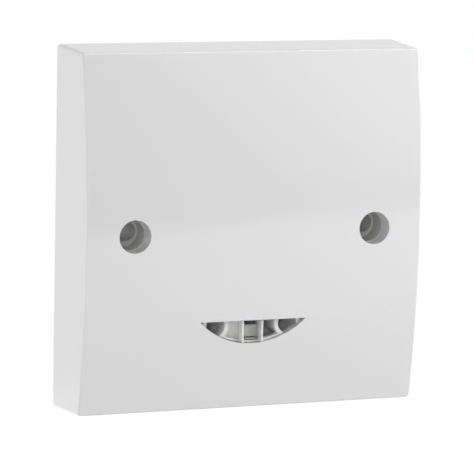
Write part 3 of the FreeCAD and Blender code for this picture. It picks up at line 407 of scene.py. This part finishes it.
# %% Metals
finishes["bright_metal"] = metal("bright_metal", (0.75, 0.75, 0.74), (0.2, 0.35))
finishes["copper_gilt"] = metal("copper_gilt", (0.82, 0.58, 0.30), (0.2, 0.35))
finishes["plated_iron"] = metal("plated_iron", (0.62, 0.62, 0.62), (0.25, 0.4))
finishes["plated_steel"] = metal("plated_steel", (0.70, 0.70, 0.69), (0.25, 0.42), patches=0.25)
finishes["plated_brass"] = metal("plated_brass", (0.74, 0.66, 0.46), (0.3, 0.45), patches=0.2)
finishes["enamelled_copper"] = metal("enamelled_copper", (0.62, 0.28, 0.10), (0.25, 0.35),
                                     stretch=(900.0, 900.0, 900.0))
finishes["board_green"] = board("board_green", (0.03, 0.20, 0.09), (0.06, 0.30, 0.13), 260.0)
finishes["board_pale"] = board("board_pale", (0.10, 0.30, 0.16), (0.14, 0.38, 0.20), 120.0)
print("finishes:", len(finishes))

# %% [markdown]
# The record says which finish each piece takes, so the solids are dressed by walking through it.

# %% Dress the solids


def dress(piece, finish):
    """Gives a piece one material only."""
    piece.data.materials.clear()
    piece.data.materials.append(finishes[finish])


finish_of = {part["node"]: part["material_slot"] for part in frame["record"]["subparts"]}
for name, finish in finish_of.items():
    dress(frame["nodes"][name], finish)
print("dressed:", len(finish_of), "solids")

# %% [markdown]
# The cover's front is part of a wide drum, 226 mm in radius, and it is glossy. Loose triangles would show
# in its reflections, so the visible cover is a merged copy of the solid that knows the drum: wherever a
# face lies on it, the normal is worked out from the drum's axis. The other faces get normals weighted by
# area, which keeps flat sides flat beside their small rounded edges.

# %% Smooth cover
plate_height, side_draft = 86.0 * mm, 0.67 * mm
edge_depth, crown_depth = 16.0 * mm, 20.0 * mm
half_front = plate_height / 2 - side_draft
crown_rise = crown_depth - edge_depth
drum_radius = (half_front ** 2 + crown_rise ** 2) / (2 * crown_rise)
drum_axis = drum_radius - crown_depth
on_the_drum, facing_front = 4e-6, -0.9


def merged_copy(source, name, sharp_angle):
    """The solid's triangles merged into one smooth mesh, sharp above an angle."""
    mesh = bpy.data.meshes.new(name)
    shape = bmesh.new()
    shape.from_mesh(frame["nodes"][source].data)
    bmesh.ops.remove_doubles(shape, verts=shape.verts, dist=1e-6)
    for face in shape.faces:
        face.smooth = True
    for edge in shape.edges:
        edge.smooth = len(edge.link_faces) == 2 and edge.calc_face_angle(0) < sharp_angle
    shape.to_mesh(mesh)
    shape.free()
    piece = bpy.data.objects.new(name, mesh)
    bpy.context.scene.collection.objects.link(piece)
    return piece


def weigh_normals(piece):
    """Normals weighted by face area, applied to the mesh."""
    weighted = piece.modifiers.new("weigh", "WEIGHTED_NORMAL")
    weighted.keep_sharp = True
    depsgraph = bpy.context.evaluated_depsgraph_get()
    old = piece.data
    piece.data = bpy.data.meshes.new_from_object(piece.evaluated_get(depsgraph))
    piece.modifiers.clear()
    bpy.data.meshes.remove(old)


def round_as_drum(piece):
    """Normals of the crowned front, worked out from the drum's axis."""
    mesh = piece.data
    normals = [Vector(corner.vector) for corner in mesh.corner_normals]
    count = 0
    for face in mesh.polygons:
        arms = [Vector((0, mesh.vertices[v].co.y - drum_axis, mesh.vertices[v].co.z)) for v in face.vertices]
        if all(abs(arm.length - drum_radius) < on_the_drum for arm in arms) and face.normal.y < facing_front:
            count += 1
            for loop, arm in zip(face.loop_indices, arms):
                normals[loop] = arm.normalized()
    mesh.normals_split_custom_set(normals)
    return count


cover = merged_copy("front_cover", "cover_moulding", math.radians(28))
weigh_normals(cover)
print("faces on the drum:", round_as_drum(cover), "of", len(cover.data.polygons))
dress(cover, "cover_white")
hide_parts("front_cover")
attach(cover, "housing")

# %% [markdown]
# What repeats is grown by Geometry Nodes: the turns of wire on the relay's coil and on the choke, and the
# solder at every lead. A tree takes its sizes through named inputs and ends by making its instances real and
# giving them their finish. Its result is kept as a plain mesh, so the modifier isn't needed afterwards.

# %% Helpers for trees that grow pieces


def start_tree(name, inputs):
    """A Geometry Nodes tree with named inputs; inputs are (name, kind, value)."""
    tree = bpy.data.node_groups.new(name, "GeometryNodeTree")
    tree.is_modifier = True
    for label, kind, value in inputs:
        socket = tree.interface.new_socket(label, in_out="INPUT", socket_type="NodeSocket" + kind)
        if value is not None:
            socket.default_value = value
    tree.interface.new_socket("Geometry", in_out="OUTPUT", socket_type="NodeSocketGeometry")
    return tree, tree.nodes.new("NodeGroupInput").outputs, tree.nodes.new("NodeGroupOutput").inputs


def end_tree(tree, made, finish, result):
    """Makes instances real, gives the finish and hands the geometry out."""
    real = tree.nodes.new("GeometryNodeRealizeInstances")
    coat = tree.nodes.new("GeometryNodeSetMaterial")
    link(tree, made, real.inputs["Geometry"])
    link(tree, real.outputs["Geometry"], coat.inputs["Geometry"])
    link(tree, finish, coat.inputs["Material"])
    link(tree, coat.outputs["Geometry"], result["Geometry"])


def grow(name, tree, start, slot, **values):
    """Runs a tree on a mesh, keeps the result as a plain mesh and lets it ride on the housing."""
    piece = bpy.data.objects.new(name, start)
    bpy.context.scene.collection.objects.link(piece)
    modifier = piece.modifiers.new("grow", "NODES")
    modifier.node_group = tree
    values["Finish"] = finishes[slot]
    for socket in tree.interface.items_tree:
        if socket.in_out == "INPUT" and socket.name in values:
            modifier[socket.identifier] = values[socket.name]
    depsgraph = bpy.context.evaluated_depsgraph_get()
    piece.data = bpy.data.meshes.new_from_object(piece.evaluated_get(depsgraph))
    piece.modifiers.clear()
    dress(piece, slot)
    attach(piece, "housing")
    return piece


along_y = (-math.pi / 2, 0.0, 0.0)
print("trees can be grown")

# %% [markdown]
# A coil is one long helix of thin wire, each turn against the last, over the layers below. The Spiral curve
# makes the helix from a pitch and a height, and Curve to Mesh sweeps a small circle along it. The layers
# below are one plain ring under the outer turns, because nobody sees them.

# %% Wound wire


def turns_of_wire(tree, wire, axis, height):
    """A helix of wire, each turn against the last."""
    helix = node(tree, "GeometryNodeCurveSpiral", Resolution=30)
    link(tree, maths(tree, "DIVIDE", height, wire), helix.inputs["Rotations"])
    link(tree, axis, helix.inputs["Start Radius"])
    link(tree, axis, helix.inputs["End Radius"])
    link(tree, height, helix.inputs["Height"])
    thread = node(tree, "GeometryNodeCurvePrimitiveCircle", Resolution=6)
    link(tree, maths(tree, "MULTIPLY", wire, 0.5), thread.inputs["Radius"])
    turns = node(tree, "GeometryNodeCurveToMesh", Fill_Caps=True)
    link(tree, helix.outputs["Curve"], turns.inputs["Curve"])
    link(tree, thread.outputs["Curve"], turns.inputs["Profile Curve"])
    smooth = tree.nodes.new("GeometryNodeSetShadeSmooth")
    link(tree, turns.outputs["Mesh"], smooth.inputs["Geometry"])
    return smooth.outputs["Geometry"]


def layers_below(tree, bore, axis, height):
    """A plain ring under the outer turns."""
    depth = maths(tree, "SUBTRACT", axis, bore)
    middle = node(tree, "GeometryNodeCurvePrimitiveCircle", Resolution=48)
    link(tree, maths(tree, "SUBTRACT", axis, maths(tree, "MULTIPLY", depth, 0.5)), middle.inputs["Radius"])
    section = node(tree, "GeometryNodeCurvePrimitiveQuadrilateral")
    link(tree, depth, section.inputs["Width"])
    link(tree, height, section.inputs["Height"])
    below = tree.nodes.new("GeometryNodeCurveToMesh")
    link(tree, middle.outputs["Curve"], below.inputs["Curve"])
    link(tree, section.outputs["Curve"], below.inputs["Profile Curve"])
    lift = tree.nodes.new("ShaderNodeCombineXYZ")
    link(tree, maths(tree, "MULTIPLY", height, 0.5), lift.inputs["Z"])
    raised = tree.nodes.new("GeometryNodeTransform")
    link(tree, below.outputs["Mesh"], raised.inputs["Geometry"])
    link(tree, lift.outputs[0], raised.inputs["Translation"])
    return raised.outputs["Geometry"]


def wire_tree():
    """Helix of wire over a ring, along Z before it is turned and placed."""
    tree, given, result = start_tree("wound wire", [
        ("Finish", "Material", None), ("Bore", "Float", 0.002), ("Radius", "Float", 0.004),
        ("Length", "Float", 0.008), ("Wire", "Float", 0.0002), ("Turn", "Rotation", (0, 0, 0)),
        ("Place", "Vector", (0, 0, 0))])
    axis = maths(tree, "SUBTRACT", given["Radius"], maths(tree, "MULTIPLY", given["Wire"], 0.5))
    height = maths(tree, "SUBTRACT", given["Length"], given["Wire"])
    both = tree.nodes.new("GeometryNodeJoinGeometry")
    link(tree, turns_of_wire(tree, given["Wire"], axis, height), both.inputs["Geometry"])
    link(tree, layers_below(tree, given["Bore"], axis, height), both.inputs["Geometry"])
    placed = tree.nodes.new("GeometryNodeTransform")
    link(tree, both.outputs["Geometry"], placed.inputs["Geometry"])
    link(tree, given["Turn"], placed.inputs["Rotation"])
    link(tree, given["Place"], placed.inputs["Translation"])
    end_tree(tree, placed.outputs["Geometry"], given["Finish"], result)
    return tree


def wind(name, tree, low, high, bore, wire):
    """Wire round an upright core, filling a box between two corners."""
    middle = (low + high) / 2
    values = {"Bore": bore, "Radius": (high.x - low.x) / 2, "Length": high.y - low.y, "Wire": wire,
              "Turn": along_y, "Place": (middle.x, low.y + wire / 2, middle.z)}
    return grow(name, tree, bpy.data.meshes.new(name), "enamelled_copper", **values)


relay_bore, relay_wire = 2.75 * mm, 0.18 * mm
choke_bore, choke_wire = 3.5 * mm, 0.35 * mm
waist_start, waist_end = 8.3 * mm, 1.2 * mm
winder = wire_tree()
coil = wind("relay_wire", winder, *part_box("relay_winding"), relay_bore, relay_wire)
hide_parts("relay_winding")
choke_low, choke_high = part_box("choke")
waist_low = Vector((choke_low.x, choke_high.y - waist_start, choke_low.z))
waist_high = Vector((choke_high.x, choke_high.y - waist_end, choke_high.z))
choke_coil = wind("choke_wire", winder, waist_low, waist_high, choke_bore, choke_wire)
print("faces of wire:", len(coil.data.polygons), "and", len(choke_coil.data.polygons))

# %% [markdown]
# Every lead that passes through a board is soldered. A joint is a little concave hill from the copper ring up
# to the lead. The tree bends a cone into that shape once and sets one on every point that it is given, each
# a little larger or smaller, as hand and wave soldering leave them. The points are where the leads of the
# solids end, pulled back to the face of the board.

# %% Solder
smallest_joint, largest_joint = 0.88, 1.06
pinch_at_half_height = 0.22


def solder_tree():
    """Concave hills on points."""
    tree, given, result = start_tree("solder joints", [
        ("Geometry", "Geometry", None), ("Finish", "Material", None), ("Foot", "Float", 0.0009),
        ("Neck", "Float", 0.0004), ("Height", "Float", 0.0005), ("Turn", "Rotation", (0, 0, 0)),
        ("Seed", "Int", 3)])
    cone = node(tree, "GeometryNodeMeshCone", Vertices=14, Side_Segments=5)
    for label, size in (("Radius Top", "Neck"), ("Radius Bottom", "Foot"), ("Depth", "Height")):
        link(tree, given[size], cone.inputs[label])
    place = tree.nodes.new("ShaderNodeSeparateXYZ")
    link(tree, tree.nodes.new("GeometryNodeInputPosition").outputs[0], place.inputs[0])
    rise = maths(tree, "DIVIDE", place.outputs["Z"], given["Height"])
    bow = maths(tree, "SINE", maths(tree, "MULTIPLY", rise, math.pi), 0.0)
    pinch = maths(tree, "SUBTRACT", 1.0, maths(tree, "MULTIPLY", bow, pinch_at_half_height))
    bent = tree.nodes.new("ShaderNodeCombineXYZ")
    for label in ("X", "Y"):
        link(tree, maths(tree, "MULTIPLY", place.outputs[label], pinch), bent.inputs[label])
    link(tree, place.outputs["Z"], bent.inputs["Z"])
    hill = tree.nodes.new("GeometryNodeSetPosition")
    link(tree, cone.outputs["Mesh"], hill.inputs["Geometry"])
    link(tree, bent.outputs[0], hill.inputs["Position"])
    smooth = tree.nodes.new("GeometryNodeSetShadeSmooth")
    link(tree, hill.outputs["Geometry"], smooth.inputs["Geometry"])
    size = node(tree, "FunctionNodeRandomValue", data_type="FLOAT")
    for socket, limit in zip((size.inputs[2], size.inputs[3]), (smallest_joint, largest_joint)):
        socket.default_value = limit
    link(tree, given["Seed"], size.inputs["Seed"])
    many = tree.nodes.new("GeometryNodeInstanceOnPoints")
    link(tree, given["Geometry"], many.inputs["Points"])
    link(tree, smooth.outputs["Geometry"], many.inputs["Instance"])
    link(tree, given["Turn"], many.inputs["Rotation"])
    link(tree, size.outputs[1], many.inputs["Scale"])
    end_tree(tree, many.outputs["Instances"], given["Finish"], result)
    return tree


def lead_ends(names, face, tail):
    """Centres of the round leads that end a tail past a board's face, pulled back to that face."""
    groups = []
    for name in names:
        for vertex in frame["nodes"][name].data.vertices:
            if abs(vertex.co.y - face - tail) < 0.01 * mm:
                near = [g for g in groups if (g[0] - vertex.co).length < 1.0 * mm]
                if near:
                    near[0].append(vertex.co.copy())
                else:
                    groups.append([vertex.co.copy()])
    spots = []
    for rim in groups:
        x, z = ([point[axis] for point in rim] for axis in (0, 2))
        spots.append(((min(x) + max(x)) / 2, face, (min(z) + max(z)) / 2))
    return spots


def solder(name, spots, turn):
    """Joints at the spots, all facing one way."""
    points = bpy.data.meshes.new(name)
    points.from_pydata(spots, [], [])
    return grow(name, joints_tree, points, "bright_metal", Turn=turn)


long_tail, short_tail = 1.2 * mm, 0.5 * mm
power_front, power_rear = 4.0 * mm, 5.6 * mm
control_front, control_rear = -7.6 * mm, -6.0 * mm
antenna_front = -13.4 * mm
joints_tree = solder_tree()
standing = ("relay_base", "transformer_winding", "bulk_capacitor", "output_capacitor",
            "suppression_capacitor", "varistor", "fuse", "choke")
front_spots = lead_ends(standing, power_front, -long_tail)
front_spots += lead_ends(("board_socket",), control_front, -short_tail)
front_spots += lead_ends(("radar_header",), antenna_front, -short_tail)
rear_spots = lead_ends(("board_header",), power_rear, long_tail)
rear_spots += lead_ends(("radar_header",), control_rear, long_tail)
front_joints = solder("solder_front", front_spots, (math.pi / 2, 0.0, 0.0))
rear_joints = solder("solder_rear", rear_spots, along_y)
print("joints:", len(front_spots), "to the front and", len(rear_spots), "to the rear")

# %% [markdown]
# The studio is plain: a pale floor well below the plate, a white surround, and soft lamps. The surround is
# white only for rays that come from the camera, a mirror or glass; the light it gives the object is set
# apart, so that white plastic doesn't clip.

# %% Surround
light_of_surround = 0.438


def make_surround():
    """World that looks white and lights the object at its own level."""
    world = bpy.data.worlds.new("surround")
    world.use_nodes = True
    tree = world.node_tree
    background = tree.nodes["Background"]
    background.inputs["Color"].default_value = (1, 1, 1, 1)
    path = tree.nodes.new("ShaderNodeLightPath")
    seen = maths(tree, "MAXIMUM", maths(tree, "MAXIMUM", path.outputs["Is Camera Ray"],
                                        path.outputs["Is Glossy Ray"]), path.outputs["Is Transmission Ray"])
    link(tree, spread(tree, seen, light_of_surround, 1.0), background.inputs["Strength"])
    bpy.context.scene.world = world


make_surround()
bpy.context.scene.view_settings.view_transform = "Standard"
print("surround lights at", light_of_surround)

# %% [markdown]
# The floor is one sheet of pale paper, 0.3 m below the middle of the plate, so the plate's shadow falls on
# it softly. Its own light is for the camera and for mirrors only. In mirrors it is dimmer near the object on
# the right, because there the photographed plate mirrors the floor's shaded part. Seen from below it is
# clear, so the underside can be looked at too.

# %% Floor
floor_height = -0.30
floor_front, floor_back, floor_half_width = -3.06, 1.2, 2.2


def make_sheet(name, corners, material):
    """One flat piece of the studio."""
    mesh = bpy.data.meshes.new(name)
    mesh.from_pydata(corners, [], [tuple(range(len(corners)))])
    mesh.materials.append(material)
    sheet = bpy.data.objects.new(name, mesh)
    bpy.context.scene.collection.objects.link(sheet)
    return sheet


def new_tree(name):
    """A material, its tree and its output."""
    material = bpy.data.materials.new(name)
    material.use_nodes = True
    return material, material.node_tree, material.node_tree.nodes["Material Output"]


def mixed_shaders(tree, factor, first, second):
    """A Mix Shader between two shader sockets."""
    mix = tree.nodes.new("ShaderNodeMixShader")
    for socket, source in zip(mix.inputs, (factor, first, second)):
        link(tree, source, socket)
    return mix.outputs[0]


def floor_finish():
    """Pale paper, white to the camera and in mirrors, clear from below."""
    material, tree, output = new_tree("floor_paper")
    shader = tree.nodes["Principled BSDF"]
    shader.inputs["Base Color"].default_value = (0.85, 0.85, 0.85, 1)
    shader.inputs["Roughness"].default_value = 0.9
    shader.inputs["Emission Color"].default_value = (1, 1, 1, 1)
    path = tree.nodes.new("ShaderNodeLightPath")
    seen = maths(tree, "MULTIPLY", path.outputs["Is Camera Ray"], paper_glow)
    link(tree, seen, shader.inputs["Emission Strength"])
    mirrored = maths(tree, "MAXIMUM", path.outputs["Is Glossy Ray"], path.outputs["Is Transmission Ray"])
    spot = tree.nodes.new("ShaderNodeNewGeometry")
    place = tree.nodes.new("ShaderNodeSeparateXYZ")
    link(tree, spot.outputs["Position"], place.inputs[0])
    glow = tree.nodes.new("ShaderNodeEmission")
    near = maths(tree, "MULTIPLY", spread(tree, place.outputs["Y"], 0.0, 1.0, *fade_towards_plate),
                 spread(tree, place.outputs["X"], 0.0, 1.0, *fade_to_the_right))
    link(tree, spread(tree, near, far_floor_glow, near_floor_glow), glow.inputs["Strength"])
    clear = tree.nodes.new("ShaderNodeBsdfTransparent")
    paper = mixed_shaders(tree, mirrored, shader.outputs[0], glow.outputs[0])
    both_sides = mixed_shaders(tree, spot.outputs["Backfacing"], paper, clear.outputs[0])
    link(tree, both_sides, output.inputs["Surface"])
    return material


paper_glow = 0.62
far_floor_glow, near_floor_glow = 1.25, 0.85
fade_towards_plate, fade_to_the_right = (-0.80, -0.62), (-0.05, 0.05)
make_sheet("floor", [(-floor_half_width, floor_front, floor_height),
                     (floor_half_width, floor_front, floor_height),
                     (floor_half_width, floor_back, floor_height),
                     (-floor_half_width, floor_back, floor_height)], floor_finish())
print("floor", floor_height, "m below the middle of the plate")

# %% [markdown]
# A glossy white plate shows the room. In the photograph its upper half mirrors a dark room, its lower half
# mirrors the pale floor with a crisp edge between them, the upper right mirrors a pale wall, and a thin
# bright line runs along the top edge. Three cards, seen by mirrors alone, stand for the room, the wall and
# the lamp overhead.

# %% Cards that only mirrors see
room_distance, wall_distance, overhead_height = -1.50, -1.49, 1.1


def mirror_card(name, corners, strength=0.0):
    """A card that only mirror rays meet, black unless it is given a strength."""
    material, tree, output = new_tree(name + "_paint")
    glow = tree.nodes.new("ShaderNodeEmission")
    glow.inputs["Strength"].default_value = strength
    link(tree, glow.outputs[0], output.inputs["Surface"])
    card = make_sheet(name, corners, material)
    for ray in ("camera", "diffuse", "transmission", "shadow"):
        setattr(card, "visible_" + ray, False)
    return tree, glow


def pale_wall():
    """Wall that pales upwards and to the right."""
    corners = [(x, wall_distance, z) for x, z in ((0.612, -0.03), (0.86, -0.05), (0.86, 0.60), (0.455, 0.60))]
    tree, glow = mirror_card("pale_wall", corners)
    spot = tree.nodes.new("ShaderNodeNewGeometry")
    place = tree.nodes.new("ShaderNodeSeparateXYZ")
    link(tree, spot.outputs["Position"], place.inputs[0])
    upward = spread(tree, place.outputs["Z"], 0.45, 0.95, -0.02, 0.42)
    inward = maths(tree, "ADD", place.outputs["X"], maths(tree, "MULTIPLY", place.outputs["Z"], 0.25))
    link(tree, maths(tree, "MULTIPLY", upward, spread(tree, inward, 0.5, 1.0, 0.60, 0.74)),
         glow.inputs["Strength"])


mirror_card("dark_room", [(x, room_distance, z)
                          for x, z in ((0.20, -0.299), (1.0, -0.096), (1.0, 0.62), (0.20, 0.62))])
pale_wall()
mirror_card("overhead", [(x, y, overhead_height)
                         for x, y in ((0.15, -1.05), (0.8, -1.05), (0.8, -0.4), (0.15, -0.4))], strength=9.0)
print("cards placed")

# %% [markdown]
# Three soft lamps do the rest. A small one near the right edge makes the front a little lighter there, one
# on the left stands just behind the plate, so that it whitens the side and leaves the holes in shade, and a
# weak one in front reaches the floor of the slot. The last two would show in the plate as square spots from
# some angles, so mirror rays don't see them.

# %% Lamps


def lamp(name, place, size, power):
    """Soft square lamp aimed at the middle of the plate."""
    data = bpy.data.lights.new(name, "AREA")
    data.energy, data.size = power, size
    made = bpy.data.objects.new(name, data)
    made.location = place
    made.rotation_euler = (-Vector(place)).to_track_quat("-Z", "Y").to_euler()
    bpy.context.scene.collection.objects.link(made)
    return made


lamp("key", (0.32, -0.22, 0.16), 0.2, 0.95)
side_lamp = lamp("left", (-0.90, 0.12, 0.06), 0.4, 2.35)
front_lamp = lamp("front", (-0.45, -1.15, 0.17), 0.25, 2.3)
for unmirrored in (side_lamp, front_lamp):
    unmirrored.visible_glossy = False

# %% [markdown]

# %% Import json
import json
